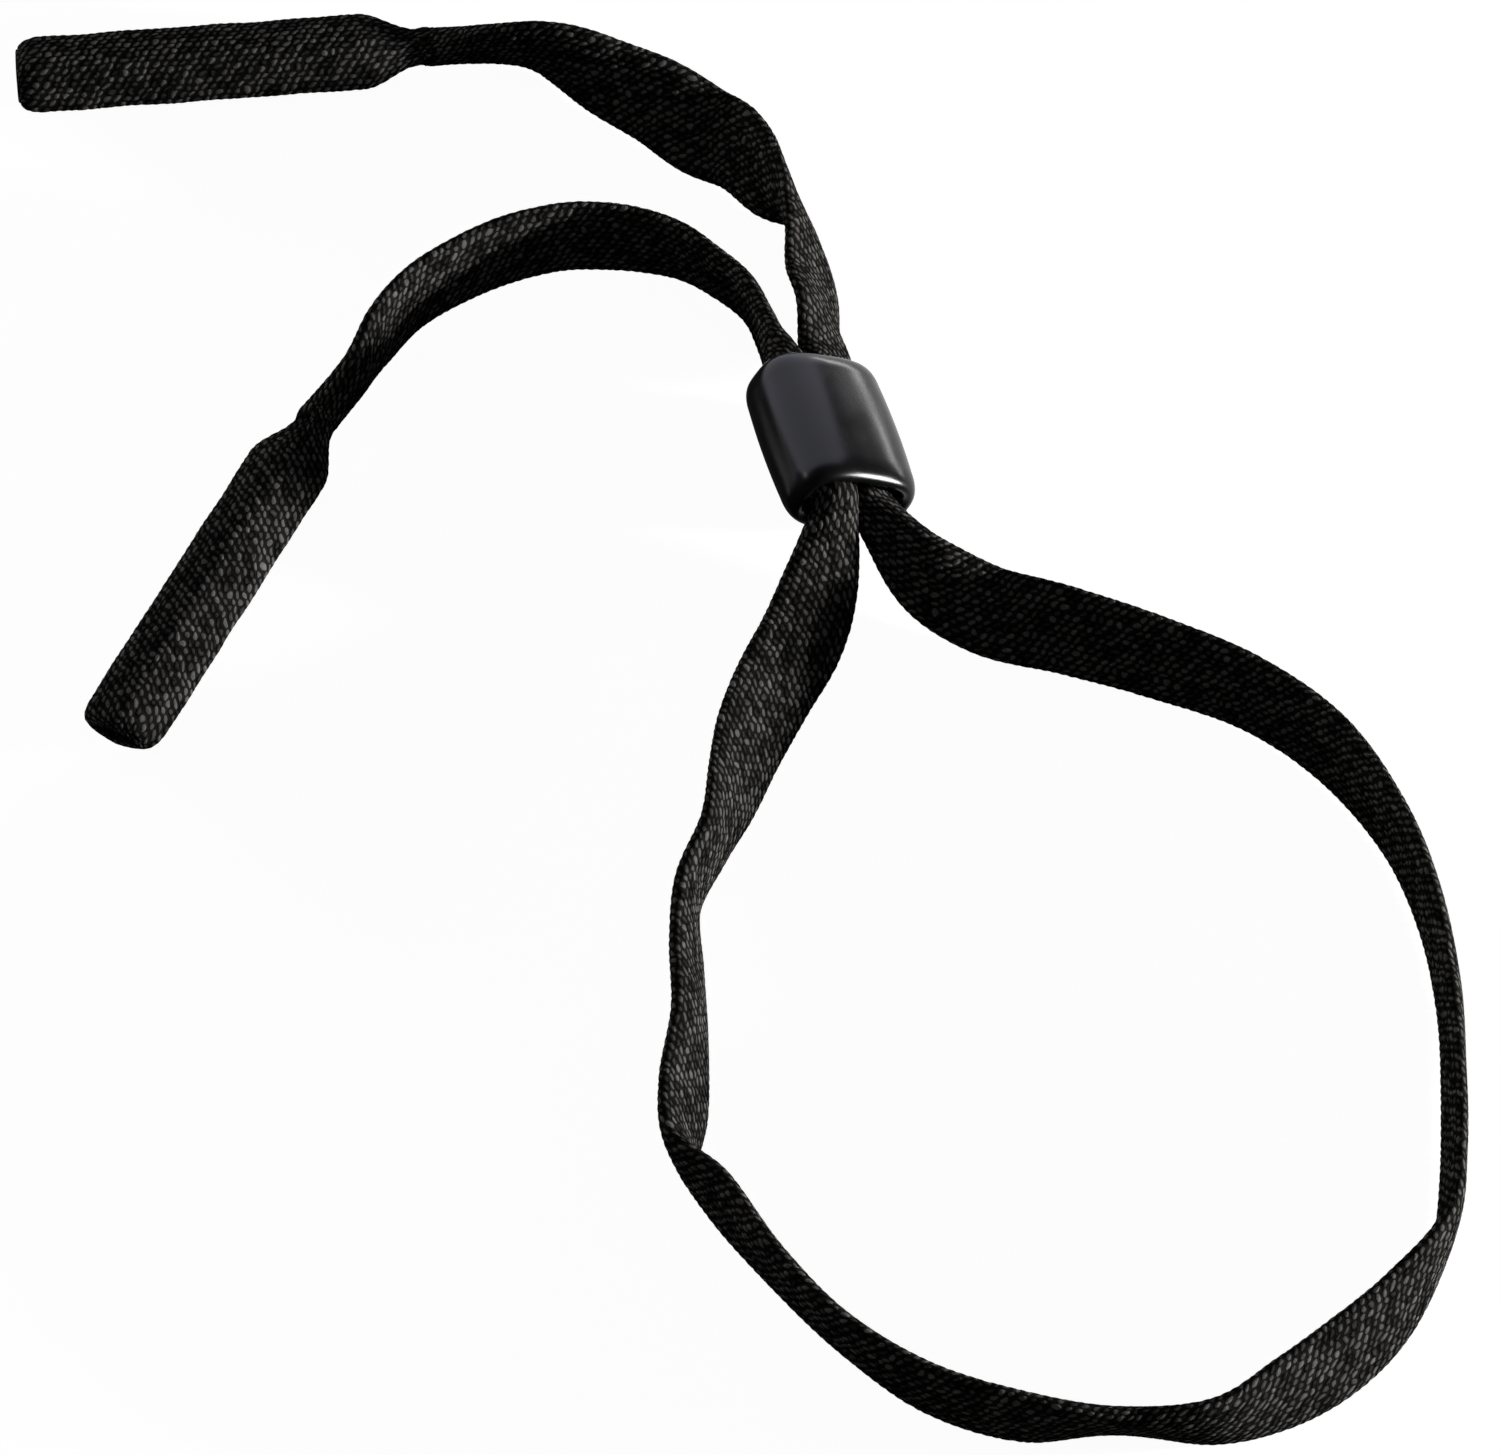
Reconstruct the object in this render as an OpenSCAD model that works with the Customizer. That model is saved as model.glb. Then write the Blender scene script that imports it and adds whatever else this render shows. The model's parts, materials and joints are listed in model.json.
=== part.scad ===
// Eyeglass retainer strap, as it lies on a table.
// A flat tubular braid is doubled through an oval slider. Each end goes into a
// padded sleeve that takes a temple tip, and the rest makes the neck loop.
// The slider's slot runs along Y, the loop lies towards -Y and the sleeves towards -X.

/* [Strap] */
// Width of the braid lying flat
strap_w = 12; // [10:0.5:14]
// Thickness of the braid lying flat
strap_t = 3.2; // [2.6:0.1:4]

/* [Slider] */
// Length of the slider along the strap
slider_l = 22.5; // [18:0.5:26]
// Width of the slider at its middle
slider_w = 19.5; // [18:0.5:24]
// Thickness of the slider at its middle
slider_h = 13.5; // [12.5:0.5:17]
// Swell of each side between the two ends
slider_swell = 0.2; // [0:0.1:1.2]
// Squareness of the slider's section, where 2 is an ellipse
slider_square = 2.7; // [2.2:0.1:4]
// Length of the rounded lip at each mouth
lip_l = 3.6; // [1:0.1:4.5]
// Width of the slot
slot_w = 13; // [11:0.5:14]
// Height of the slot
slot_h = 6.6; // [6:0.2:9.4]
// Roll of the slider about the slot, right side down
slider_roll = 31; // [0:1:45]

/* [Sleeves] */
// Length of a sleeve from its mouth to its neck
sleeve_l = 59; // [52:0.5:64]
// Width of a sleeve
sleeve_w = 11.6; // [11:0.2:13.4]
// Thickness of a sleeve
sleeve_t = 6.8; // [6:0.2:8]
// Thickness of the sleeve's braid
sleeve_wall = 0.9; // [0.6:0.1:1.1]
// Length of the shoulder that narrows to the neck
shoulder_l = 8.5; // [6:0.5:11]
// Length of the corner round at the mouth
mouth_round = 3.2; // [2:0.2:4.5]
// Width of the mouth's rim
mouth_w = 8.4; // [7.6:0.2:9.4]
// Thickness of the mouth's rim
mouth_t = 4; // [3.4:0.2:5]
// Length of the gathered neck
neck_l = 1.5; // [1:0.5:4]
// Width of the neck
neck_w = 5.6; // [5:0.1:7]
// Thickness of the neck
neck_t = 4.4; // [4:0.1:5.6]

/* [Grip liners] */
// Length of a grip liner
liner_l = 38; // [30:1:40]
// Thickness of the liner's wall
liner_wall = 0.6; // [0.4:0.05:0.8]
// How far the liner lies behind the mouth
liner_set_back = 3.5; // [3:0.5:5]

/* [Fits] */
// Gap round the strap in the slider, and where its stretches meet
strap_gap = 0.3; // [0.2:0.05:0.5]
// Gap between a liner and its sleeve
liner_gap = 0.15; // [0.1:0.05:0.3]

/* [Hidden] */

// Points round the sections, and rings to each span of a strap route
strap_sides = 12;
sleeve_sides = 24;
slider_sides = 40;
span_rings = 2;

// Squareness of the strap's, the slot's and the sleeves' sections
strap_square = 2.4;
slot_square = 3.6;
sleeve_square = 1.7;

// Where the middle of the slider lies, a little clear of the table
slider_at = [25.8, 26.7];
slider_lift = 0.3;

// The two runs share the slot side by side
run_t = (slot_w - 3 * strap_gap) / 2;
run_w = slot_h - 2 * strap_gap;
run_off = (run_t + strap_gap) / 2;
run_end = slider_l / 2 + strap_gap / 2;

// Sleeve axes on the table from the mouth to the neck, and each sleeve's roll, right side down
left_mouth = [-77.8, 9.8];
left_bearing = 49;
left_roll = 5;
right_mouth = [-66, 126.2];
right_bearing = -10.6;
right_roll = 20;

// Most that the braid is pulled wide, where 1 is its flat width
most_spread = 1.2;

// Strap stations between the ends: x, y, lift off the table, lean to the right of
// travel in degrees, and spread from 0 where it is gathered to 1 where it is flat,
// or more where it is pulled wide
left_arm_stations = [
    [23, 43.2, 2.5, 3, 0.8],
    [23.2, 49.2, 0.4, -3, 1],
    [22.6, 56, 0, -6, 1],
    [19.6, 61.8, 0, -5, 1],
    [16, 66.7, 0, 0, 1],
    [11.2, 70.2, 0, 6, 1],
    [5.9, 72.6, 0, 10, 1],
    [0, 74, 0, 10, 1],
    [-7.7, 73.8, 0, 10, 1],
    [-15.4, 71.9, 0, 8, 1],
    [-22.4, 68.8, 0, 6, 1],
    [-28.4, 63.7, 0, 4, 1],
    [-33.2, 58.6, 0.3, -4, 0.7]
];
right_arm_stations = [
    [30, 43.2, 1.5, -45, 0.55],
    [31, 50, 0.3, -26, 1],
    [32.1, 57.2, 0, -34, 1],
    [33.1, 63.8, 0, -24, 1],
    [33, 70, 0, -13, 1],
    [31, 76.4, 0, 21, 1],
    [29, 83.2, 0, 38, 1.05],
    [25.4, 89, 0, 60, 1.15],
    [20.7, 95.1, 0, 48, 1.1],
    [15, 100.8, 0, 34, 1],
    [9.1, 106.4, 0, 7, 1],
    [4.2, 110.2, 0, -13, 0.9],
    [-2.2, 113.5, 0, -18, 0.5]
];
neck_loop_stations = [
    [18.9, 7.2, 2, 58, 0.8],
    [14.2, 0.2, 0.3, 63, 1],
    [7.9, -7.3, 0, 55, 1],
    [2.4, -14.8, 0, 42, 1],
    [-2.1, -22.3, 0, 27, 1],
    [-6.6, -29.5, 0, 8, 1],
    [-12.2, -37, 0, 5, 1],
    [-14.9, -46, 0, 14, 1],
    [-17.4, -56.4, 0, 16, 1],
    [-21, -66.3, 0, 26, 1],
    [-23.5, -74.3, 0, 14, 1],
    [-20.6, -82.2, 0, -3, 1],
    [-16.6, -93.7, 0, 5, 1],
    [-11.2, -105, 0, 8, 1],
    [-3.5, -115.2, 0, 2, 1],
    [6.8, -122.4, 0, 3, 1],
    [17.8, -125.9, 0, 22, 1],
    [28.8, -129.3, 0, 5, 1],
    [38.5, -127.8, 0, -18, 1],
    [47.4, -124.7, 0, -26, 1],
    [56, -120, 0, -18, 1],
    [64.6, -112.5, 0, 2, 1.1],
    [69.2, -103.3, 0, 4, 1.2],
    [73.3, -91.9, 0, 2, 1.2],
    [77.2, -79.4, 0, -2, 1],
    [79.4, -66, 0, 0, 1.05],
    [79.3, -52.6, 0, 4, 1],
    [75.7, -38.5, 0, 14, 1],
    [68.4, -27.1, 0, 17, 1.04],
    [58.2, -17.7, 0, 27, 1.04],
    [48.2, -9.8, 0, 38, 1.04],
    [39.2, -2.9, 0, 55, 1.03],
    [32.2, 4.9, 1, 42, 0.83]
];

function mix(a, b, f) = a + (b - a) * f;
function unit(v) = v / norm(v);
function ease(f) = let (c = min(1, max(0, f))) c * c * (3 - 2 * c);
function power(v, square) = sign(v) * pow(abs(v), 2 / square);

// A closed section of a given size, with thickness first and width second
function oval(t, w, square, sides) = [
    for (i = [0 : sides - 1])
        let (a = 360 * i / sides)
        [t / 2 * power(cos(a), square), w / 2 * power(sin(a), square)]
];

// A smooth curve through stations, as a list of points with all their values
function blend_span(a, b, c, d, f) =
    b + f / 2 * (c - a + f * (2 * a - 5 * b + 4 * c - d + f * (3 * (b - c) + d - a)));
function smooth(s, steps) = let (last = len(s) - 1) [
    for (i = [0 : last - 1], k = [0 : steps - 1])
        blend_span(s[max(i - 1, 0)], s[i], s[i + 1], s[min(i + 2, last)], k / steps),
    s[last]
];

// One closed solid through rings of equal length, as a rod with flat ends or as a hollow ring
module skin(rings, hollow = false) {
    sides = len(rings[0]);
    count = len(rings);
    spans = hollow ? count : count - 1;
    walls = [
        for (i = [0 : spans - 1], k = [0 : sides - 1])
            let (
                a = i * sides + k,
                b = i * sides + (k + 1) % sides,
                c = ((i + 1) % count) * sides + (k + 1) % sides,
                d = ((i + 1) % count) * sides + k
            )
            each [[a, b, c], [a, c, d]]
    ];
    first = [for (k = [1 : sides - 2]) [0, k + 1, k]];
    far = (count - 1) * sides;
    last = [for (k = [1 : sides - 2]) [far, far + k, far + k + 1]];
    polyhedron([for (r = rings) each r], hollow ? walls : concat(walls, first, last));
}

// Strap: rings stood on the table, leaning to the right of travel
function strap_section(size) = oval(size[0], size[1], strap_square, strap_sides);
function stand(section, lean) = max([for (p = section) abs(p[1] * cos(lean) - p[0] * sin(lean))]);
function strap_ring(section, centre, along, lean) =
    let (
        side = unit([along[1], -along[0], 0]),
        tall = [0, 0, cos(lean)] + sin(lean) * side,
        width_dir = unit(tall - along * (tall * along)),
        thick_dir = cross(along, width_dir)
    )
    [for (p = section) centre + p[0] * thick_dir + p[1] * width_dir];

// The strap's own size where it is flat, and the sizes it is gathered to, thickness first
flat_size = [strap_t, strap_w];
run_size = [run_t, run_w];
turned_run_size = [run_w, run_t];
neck_size = [neck_w, neck_t];

module strap(stations, start, finish, start_size, finish_size, start_dir, finish_dir) {
    path = smooth(concat([start], stations, [finish]), span_rings);
    last = len(path) - 1;
    sections = [
        for (i = [0 : last])
            let (gathered = i < last / 2 ? start_size : finish_size, spread = path[i][4])
            strap_section(mix(gathered, flat_size, min(most_spread, max(0, spread))))
    ];
    centres = [
        for (i = [0 : last])
            [path[i][0], path[i][1], max(0, path[i][2]) + stand(sections[i], path[i][3])]
    ];
    skin([
        for (i = [0 : last])
            let (
                along = i == 0 ? start_dir : i == last ? finish_dir
                    : unit(centres[i + 1] - centres[i - 1])
            )
            strap_ring(sections[i], centres[i], along, path[i][3])
    ]);
}

// Slider: the section is turned about the slot, and the slot's middle stands this high
slot_z = slider_lift + stand(oval(slider_h, slider_w, slider_square, slider_sides), 90 - slider_roll);
slot_across = [cos(slider_roll), 0, -sin(slider_roll)];
slot_up = [sin(slider_roll), 0, cos(slider_roll)];
slot_mid = [slider_at[0], slider_at[1], slot_z];

function slot_ring(y, w, h, square, sides, off = 0) = [
    for (p = oval(h, w, square, sides))
        slot_mid + [0, y, 0] + (p[1] + off) * slot_across - p[0] * slot_up
];

// The station where a run leaves the slot, at the slider's end y, on side -1 or 1
function slot_station(side, y, lean, size) =
    let (p = slot_mid + [0, y, 0] + side * run_off * slot_across)
    [p[0], p[1], p[2] - stand(strap_section(size), lean), lean, 0];

// The station where the strap meets a sleeve's neck, and its direction there
function neck_station(mouth, bearing, roll) =
    let (
        reach = sleeve_l + strap_gap / 2,
        lift = sleeve_z(roll) - stand(strap_section(neck_size), -roll)
    )
    [mouth[0] + reach * cos(bearing), mouth[1] + reach * sin(bearing), lift, -roll, 0];
function to_mouth(bearing) = [-cos(bearing), -sin(bearing), 0];

// Sleeve: lens sections along its axis, measured from the mouth
function sleeve_z(roll) = stand(oval(sleeve_t, sleeve_w, sleeve_square, sleeve_sides), 90 - roll);
neck_from = sleeve_l - neck_l;
body_to = neck_from - shoulder_l;
function sleeve_size(x) =
    let (
        narrow = ease((x - body_to) / shoulder_l),
        open = sqrt(1 - pow(1 - min(1, x / mouth_round), 2)),
        t = mix(mouth_t, sleeve_t, open),
        w = mix(mouth_w, sleeve_w, open)
    )
    [mix(t, neck_t, narrow), mix(w, neck_w, narrow)];
function lens_ring(size, x) = [
    for (p = oval(size[0], size[1], sleeve_square, sleeve_sides)) [x, p[1], p[0]]
];
function shell_ring(x, inset) = lens_ring(sleeve_size(x) - 2 * [inset, inset], x);

mouth_stops = [for (f = [0, 0.08, 0.25, 0.55]) f * mouth_round];
body_stops = [for (i = [0 : 5]) mix(mouth_round, body_to, i / 5)];
shoulder_stops = [for (i = [1 : 6]) mix(body_to, neck_from, i / 6)];

module sleeve() {
    pocket = concat(mouth_stops, body_stops);
    outside = concat(pocket, shoulder_stops, [sleeve_l]);
    deep = len(pocket) - 1;
    color([0.07, 0.07, 0.07])
        skin(concat(
            [for (i = [0 : deep]) shell_ring(pocket[deep - i], sleeve_wall)],
            [for (x = outside) shell_ring(x, 0)]
        ));
}

// Grip liner: a soft tube that follows the inside of the sleeve
module liner() {
    stops = [for (i = [0 : 5]) liner_set_back + liner_l * i / 5];
    outer_inset = sleeve_wall + liner_gap;
    color([0.16, 0.16, 0.17])
        skin(concat(
            [for (x = stops) shell_ring(x, outer_inset)],
            [for (i = [5 : -1 : 0]) shell_ring(stops[i], outer_inset + liner_wall)]
        ), true);
}

module lay(mouth, bearing, roll) {
    translate([mouth[0], mouth[1], sleeve_z(roll)])
        rotate([roll, 0, bearing])
            children();
}

module slider() {
    half = slider_l / 2 - lip_l;
    end_w = slider_w - 2 * slider_swell;
    end_h = slider_h - 2 * slider_swell;
    outer = [
        for (i = [-6 : 6])
            let (f = i / 6, swell = 2 * slider_swell * (1 - f * f))
            slot_ring(f * half, end_w + swell, end_h + swell, slider_square, slider_sides)
    ];
    slot = [
        for (i = [3 : -1 : -3])
            slot_ring(i / 3 * half, slot_w, slot_h, slot_square, slider_sides)
    ];
    color([0.06, 0.06, 0.065])
        skin(concat(outer, lip(1, half, end_w, end_h), slot, lip(-1, half, end_w, end_h)), true);
}

// The rounded lip of the slider's mouth at end 1, or at end -1 from the slot outwards
function lip(end, half, end_w, end_h) = [
    for (a = [20 : 20 : 160])
        let (f = (1 - end * cos(a)) / 2)
        slot_ring(
            end * (half + lip_l * sin(a)),
            mix(end_w, slot_w, f),
            mix(end_h, slot_h, f),
            mix(slider_square, slot_square, f),
            slider_sides
        )
];

// The part of the strap that lies in the slot, on side -1 or 1
module run(side) {
    color([0.05, 0.05, 0.05])
        skin([
            for (i = [0 : 4])
                slot_ring(mix(-slider_l / 2, slider_l / 2, i / 4), run_t, run_w, strap_square,
                    strap_sides, side * run_off)
        ]);
}

module left_run() { run(-1); }
module right_run() { run(1); }

module left_arm() {
    color([0.08, 0.08, 0.08])
        strap(left_arm_stations,
            slot_station(-1, run_end, slider_roll, run_size),
            neck_station(left_mouth, left_bearing, left_roll),
            run_size, neck_size, [0, 1, 0], to_mouth(left_bearing));
}

module right_arm() {
    color([0.08, 0.08, 0.08])
        strap(right_arm_stations,
            slot_station(1, run_end, slider_roll - 90, turned_run_size),
            neck_station(right_mouth, right_bearing, right_roll),
            turned_run_size, neck_size, [0, 1, 0], to_mouth(right_bearing));
}

module neck_loop() {
    color([0.08, 0.08, 0.08])
        strap(neck_loop_stations,
            slot_station(-1, -run_end, 90 - slider_roll, turned_run_size),
            slot_station(1, -run_end, slider_roll, run_size),
            turned_run_size, run_size, [0, -1, 0], [0, 1, 0]);
}

module left_sleeve() { lay(left_mouth, left_bearing, left_roll) sleeve(); }
module right_sleeve() { lay(right_mouth, right_bearing, right_roll) sleeve(); }
module left_liner() { lay(left_mouth, left_bearing, left_roll) liner(); }
module right_liner() { lay(right_mouth, right_bearing, right_roll) liner(); }

slider();
left_run();
right_run();
left_arm();
right_arm();
neck_loop();
left_sleeve();
right_sleeve();
left_liner();
right_liner();
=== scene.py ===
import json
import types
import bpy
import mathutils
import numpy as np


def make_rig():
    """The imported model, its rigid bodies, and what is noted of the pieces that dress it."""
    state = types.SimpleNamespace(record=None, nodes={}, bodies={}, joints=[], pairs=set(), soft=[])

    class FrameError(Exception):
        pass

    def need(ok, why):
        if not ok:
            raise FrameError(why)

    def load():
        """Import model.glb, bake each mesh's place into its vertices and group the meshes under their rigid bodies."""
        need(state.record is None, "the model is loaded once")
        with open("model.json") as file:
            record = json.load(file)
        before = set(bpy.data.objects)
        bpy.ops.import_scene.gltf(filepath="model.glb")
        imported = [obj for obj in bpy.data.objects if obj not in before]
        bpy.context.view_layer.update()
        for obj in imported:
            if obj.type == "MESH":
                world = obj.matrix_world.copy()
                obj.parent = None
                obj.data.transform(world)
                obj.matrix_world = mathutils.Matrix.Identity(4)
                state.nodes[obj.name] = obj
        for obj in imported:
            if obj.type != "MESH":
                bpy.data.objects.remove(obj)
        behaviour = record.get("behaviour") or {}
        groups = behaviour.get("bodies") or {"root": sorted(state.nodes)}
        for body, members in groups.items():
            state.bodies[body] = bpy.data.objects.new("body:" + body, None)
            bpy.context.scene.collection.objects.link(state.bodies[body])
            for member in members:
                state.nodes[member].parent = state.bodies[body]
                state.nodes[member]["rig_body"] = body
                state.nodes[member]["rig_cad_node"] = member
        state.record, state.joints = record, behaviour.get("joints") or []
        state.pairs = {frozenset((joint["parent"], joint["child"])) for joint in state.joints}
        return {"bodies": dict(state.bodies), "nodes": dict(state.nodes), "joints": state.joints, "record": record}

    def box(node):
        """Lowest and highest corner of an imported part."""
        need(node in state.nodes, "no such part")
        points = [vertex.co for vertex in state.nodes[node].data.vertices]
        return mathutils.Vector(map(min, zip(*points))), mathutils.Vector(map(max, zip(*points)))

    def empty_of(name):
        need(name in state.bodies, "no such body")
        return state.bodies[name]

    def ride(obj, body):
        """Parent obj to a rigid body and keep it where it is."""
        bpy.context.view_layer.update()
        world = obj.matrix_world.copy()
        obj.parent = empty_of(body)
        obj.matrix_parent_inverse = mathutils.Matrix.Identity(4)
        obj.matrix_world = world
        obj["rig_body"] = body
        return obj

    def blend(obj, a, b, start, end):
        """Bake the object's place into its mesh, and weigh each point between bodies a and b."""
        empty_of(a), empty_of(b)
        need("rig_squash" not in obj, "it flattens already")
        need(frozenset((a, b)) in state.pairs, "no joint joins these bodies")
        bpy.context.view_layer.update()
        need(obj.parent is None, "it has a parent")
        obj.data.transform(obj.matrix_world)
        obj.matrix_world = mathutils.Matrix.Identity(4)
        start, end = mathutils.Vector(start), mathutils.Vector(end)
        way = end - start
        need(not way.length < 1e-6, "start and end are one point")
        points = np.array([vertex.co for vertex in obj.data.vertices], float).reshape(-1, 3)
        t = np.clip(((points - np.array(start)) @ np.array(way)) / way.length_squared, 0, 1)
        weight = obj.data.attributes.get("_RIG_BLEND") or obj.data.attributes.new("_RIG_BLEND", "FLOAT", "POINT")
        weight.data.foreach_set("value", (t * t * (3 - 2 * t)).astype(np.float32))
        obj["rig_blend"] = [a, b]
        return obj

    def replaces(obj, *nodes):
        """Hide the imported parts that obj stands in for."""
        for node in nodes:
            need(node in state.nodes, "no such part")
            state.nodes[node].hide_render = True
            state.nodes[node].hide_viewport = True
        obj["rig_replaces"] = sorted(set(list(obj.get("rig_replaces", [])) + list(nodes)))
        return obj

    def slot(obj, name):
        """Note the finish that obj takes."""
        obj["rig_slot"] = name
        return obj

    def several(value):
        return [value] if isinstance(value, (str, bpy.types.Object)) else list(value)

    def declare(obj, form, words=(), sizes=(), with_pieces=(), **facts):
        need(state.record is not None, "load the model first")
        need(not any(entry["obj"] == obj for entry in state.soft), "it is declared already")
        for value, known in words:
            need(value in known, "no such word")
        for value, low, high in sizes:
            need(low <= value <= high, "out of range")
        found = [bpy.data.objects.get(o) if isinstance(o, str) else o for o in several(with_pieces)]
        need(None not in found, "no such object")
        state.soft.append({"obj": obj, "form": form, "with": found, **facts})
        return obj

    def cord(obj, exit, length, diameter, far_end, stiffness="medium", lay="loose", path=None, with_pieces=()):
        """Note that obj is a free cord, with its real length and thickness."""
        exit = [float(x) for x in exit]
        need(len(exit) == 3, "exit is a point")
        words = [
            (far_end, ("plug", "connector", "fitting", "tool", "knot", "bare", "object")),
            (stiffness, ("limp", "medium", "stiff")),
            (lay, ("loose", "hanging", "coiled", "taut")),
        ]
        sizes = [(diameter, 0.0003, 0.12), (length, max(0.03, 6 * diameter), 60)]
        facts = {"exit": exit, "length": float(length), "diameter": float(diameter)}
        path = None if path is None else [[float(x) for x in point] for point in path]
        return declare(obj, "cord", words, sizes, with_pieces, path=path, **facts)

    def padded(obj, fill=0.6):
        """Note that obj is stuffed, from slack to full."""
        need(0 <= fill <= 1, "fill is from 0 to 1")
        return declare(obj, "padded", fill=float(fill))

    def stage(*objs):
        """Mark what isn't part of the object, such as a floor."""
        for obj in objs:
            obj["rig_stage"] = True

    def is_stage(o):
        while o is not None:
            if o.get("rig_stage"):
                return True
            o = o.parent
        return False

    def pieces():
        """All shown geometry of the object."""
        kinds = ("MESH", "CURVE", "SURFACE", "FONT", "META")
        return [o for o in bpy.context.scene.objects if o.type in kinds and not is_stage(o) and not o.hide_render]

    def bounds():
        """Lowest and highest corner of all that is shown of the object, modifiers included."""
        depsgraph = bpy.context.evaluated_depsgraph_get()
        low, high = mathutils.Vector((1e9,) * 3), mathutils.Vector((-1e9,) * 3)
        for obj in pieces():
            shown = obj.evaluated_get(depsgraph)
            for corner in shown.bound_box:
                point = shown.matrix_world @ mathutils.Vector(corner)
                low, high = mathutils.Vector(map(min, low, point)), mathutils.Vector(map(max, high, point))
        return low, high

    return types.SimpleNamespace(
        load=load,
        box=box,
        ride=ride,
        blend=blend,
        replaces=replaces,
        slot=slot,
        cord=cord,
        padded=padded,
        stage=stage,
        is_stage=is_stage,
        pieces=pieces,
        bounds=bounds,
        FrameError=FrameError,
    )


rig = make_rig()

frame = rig.load()
cad_box = [list(corner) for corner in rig.bounds()]

import json
import math

import bmesh
import bpy
from mathutils import Matrix, Vector, noise

# Sizes and places are in metres

# Camera: in front of the part, a little to the left and well above it
VIEW_AIM = Vector((0.00394, -0.00992, 0))
VIEW_RANGE = 0.82
VIEW_LEFT = math.radians(16)
VIEW_ABOVE = math.radians(55)
LENS = 147.6
SENSOR_WIDE = 36

# Braid lying flat, and the plait of its yarns. Its grains rise from a little below the flat
# section, sway aside and ahead, and alternate from column to column
STRAP_THICK = 0.0032
STRAP_WIDE = 0.012
STRAP_SQUARE = 2.4
BRAID_COLUMNS = 28
GRAIN_PITCH = 0.00132
GRAIN_SLANT = -0.38
GRAIN_HALF_WIDE = 0.5
GRAIN_HALF_LONG = 0.36
GRAIN_RELIEF = 0.00009
GRAIN_SINK = 0.6
RUN_GRAIN_SINK = 0.8
GRAIN_SWAY = 0.4
SWAY_SCALE = 0.7
SWAY_APART = Vector((31, 0, 0))
COLUMN_POINTS = 3
GRAIN_RINGS = 4
SPAN_STEPS = 24
OUTLINE_STEPS = 8
SEAM_REACH = 1e-7

# Slider: its size, its slot and how it lies
SLIDER_LONG = 0.0225
SLIDER_WIDE = 0.0195
SLIDER_HIGH = 0.0135
SLIDER_SWELL = 0.0002
SLIDER_SQUARE = 2.7
LIP_LONG = 0.0036
SLOT_WIDE = 0.013
SLOT_HIGH = 0.0066
SLOT_SQUARE = 3.6
SLIDER_ROLL = math.radians(31)
STRAP_GAP = 0.0003
SLIDER_SIDES = 112
SLIDER_RINGS = 40
LIP_RINGS = 22
SLOT_RINGS = 12

# Sleeves and the grip tubes inside them
SLEEVE_LONG = 0.059
SLEEVE_WIDE = 0.0116
SLEEVE_THICK = 0.0068
SLEEVE_SQUARE = 1.45
SLEEVE_WALL = 0.0009
SLEEVE_FILL = 0.8
SHOULDER_LONG = 0.0085
MOUTH_ROUND = 0.0032
MOUTH_WIDE = 0.0084
MOUTH_THICK = 0.004
NECK_LONG = 0.0015
NECK_WIDE = 0.0056
NECK_THICK = 0.0044
SLEEVE_COLUMNS = 30
SLEEVE_LUMPS = 0.00016
LUMP_SCALE = 160
LUMP_SEEDS = {"left": 7, "right": 19}
HEM_BULGE = 0.0003
HEM_RINGS = 8
MOUTH_RINGS = 12
POCKET_RINGS = 24
GRIP_LONG = 0.038
GRIP_WALL = 0.0006
GRIP_SET_BACK = 0.0035
GRIP_GAP = 0.00015
GRIP_SIDES = 72
GRIP_RINGS = 30
GRIP_END_RINGS = 6
ROLLS = {"left": math.radians(5), "right": math.radians(20)}

# How far the braid shows into the slot and into a sleeve's neck
TUCK = 0.0015

# Most that the braid is pulled wide, where 1 is its flat width
MOST_SPREAD = 1.2

# Strap stations between the ends: x, y, lift off the table, lean to the right of
# travel in degrees, and spread from 0 where it is gathered to 1 where it is flat,
# or more where it is pulled wide
LEFT_ARM_STATIONS = [
    (0.0230, 0.0432, 0.0025, 3, 0.8),
    (0.0232, 0.0492, 0.0004, -3, 1),
    (0.0226, 0.0560, 0, -6, 1),
    (0.0196, 0.0618, 0, -5, 1),
    (0.0160, 0.0667, 0, 0, 1),
    (0.0112, 0.0702, 0, 6, 1),
    (0.0059, 0.0726, 0, 10, 1),
    (0, 0.0740, 0, 10, 1),
    (-0.0077, 0.0738, 0, 10, 1),
    (-0.0154, 0.0719, 0, 8, 1),
    (-0.0224, 0.0688, 0, 6, 1),
    (-0.0284, 0.0637, 0, 4, 1),
    (-0.0332, 0.0586, 0.0003, -4, 0.7),
]
RIGHT_ARM_STATIONS = [
    (0.0300, 0.0432, 0.0015, -45, 0.55),
    (0.0310, 0.0500, 0.0003, -26, 1),
    (0.0321, 0.0572, 0, -34, 1),
    (0.0331, 0.0638, 0, -24, 1),
    (0.0330, 0.0700, 0, -13, 1),
    (0.0310, 0.0764, 0, 21, 1),
    (0.0290, 0.0832, 0, 38, 1.05),
    (0.0254, 0.0890, 0, 60, 1.15),
    (0.0207, 0.0951, 0, 48, 1.1),
    (0.0150, 0.1008, 0, 34, 1),
    (0.0091, 0.1064, 0, 7, 1),
    (0.0042, 0.1102, 0, -13, 0.9),
    (-0.0022, 0.1135, 0, -18, 0.5),
]
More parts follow.
